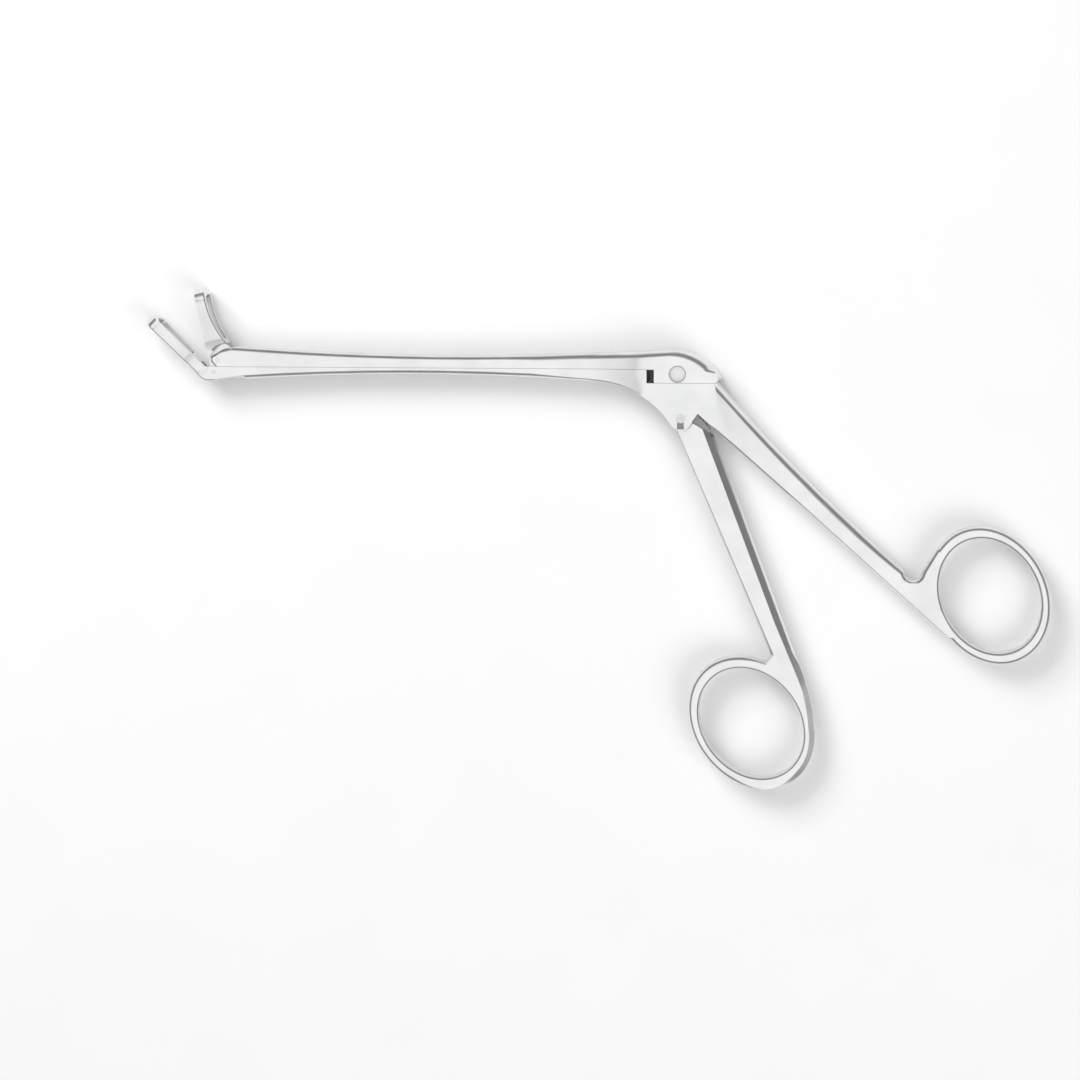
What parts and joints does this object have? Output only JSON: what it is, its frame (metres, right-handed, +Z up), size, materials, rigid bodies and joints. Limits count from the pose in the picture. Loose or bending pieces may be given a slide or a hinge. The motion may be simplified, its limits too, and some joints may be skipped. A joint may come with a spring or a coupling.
{
  "type": "nasal cutting forceps",
  "caption": "Hand-held nasal cutting forceps: a sliding bar on a slender shaft closes an angled, fenestrated punch jaw when the two finger rings are squeezed.",
  "frame": {"origin": "axis of the handle pivot where it meets the lower flat side of the hub, on which the forceps lie", "axes": "+Z up, square to the instrument's flat side; -X along the shaft to the jaws; +X and -Y towards the finger rings"},
  "size_m": [0.1986, 0.1093, 0.0092],
  "materials": {
    "steel": "satin",
    "pins": "ground"
  },
  "bodies": {
    "frame": {"fixed_frame": "steel", "fixed_jaw": "steel", "handle_pivot_pin": "pins", "jaw_pivot_pin": "pins"},
    "bar": {"sliding_bar": "steel", "drive_screw": "pins", "jaw_drive_pin": "pins"},
    "handle": {"front_handle": "steel"},
    "jaw": {"moving_jaw": "steel"}
  },
  "joints": [
    {"name": "handle_pivot", "type": "hinge", "parent": "frame", "child": "handle", "pos_m": [0, 0, 0.0046], "axis": [0, 0, 1], "range_deg": [0, 9.19]},
    {"name": "bar_slide", "type": "slide", "parent": "frame", "child": "bar", "axis": [-1, 0, 0], "range_m": [0, 0.0016]},
    {"name": "jaw_pivot", "type": "hinge", "parent": "frame", "child": "jaw", "pos_m": [-0.1032, 0.0095, 0.0046], "axis": [0, 0, 1], "range_deg": [0, 34]}
  ],
  "couplings": [
    {"joint": "bar_slide", "follows": "handle_pivot", "m_per_rad": 0.0099742},
    {"joint": "jaw_pivot", "follows": "handle_pivot", "ratio": 3.6993}
  ]
}
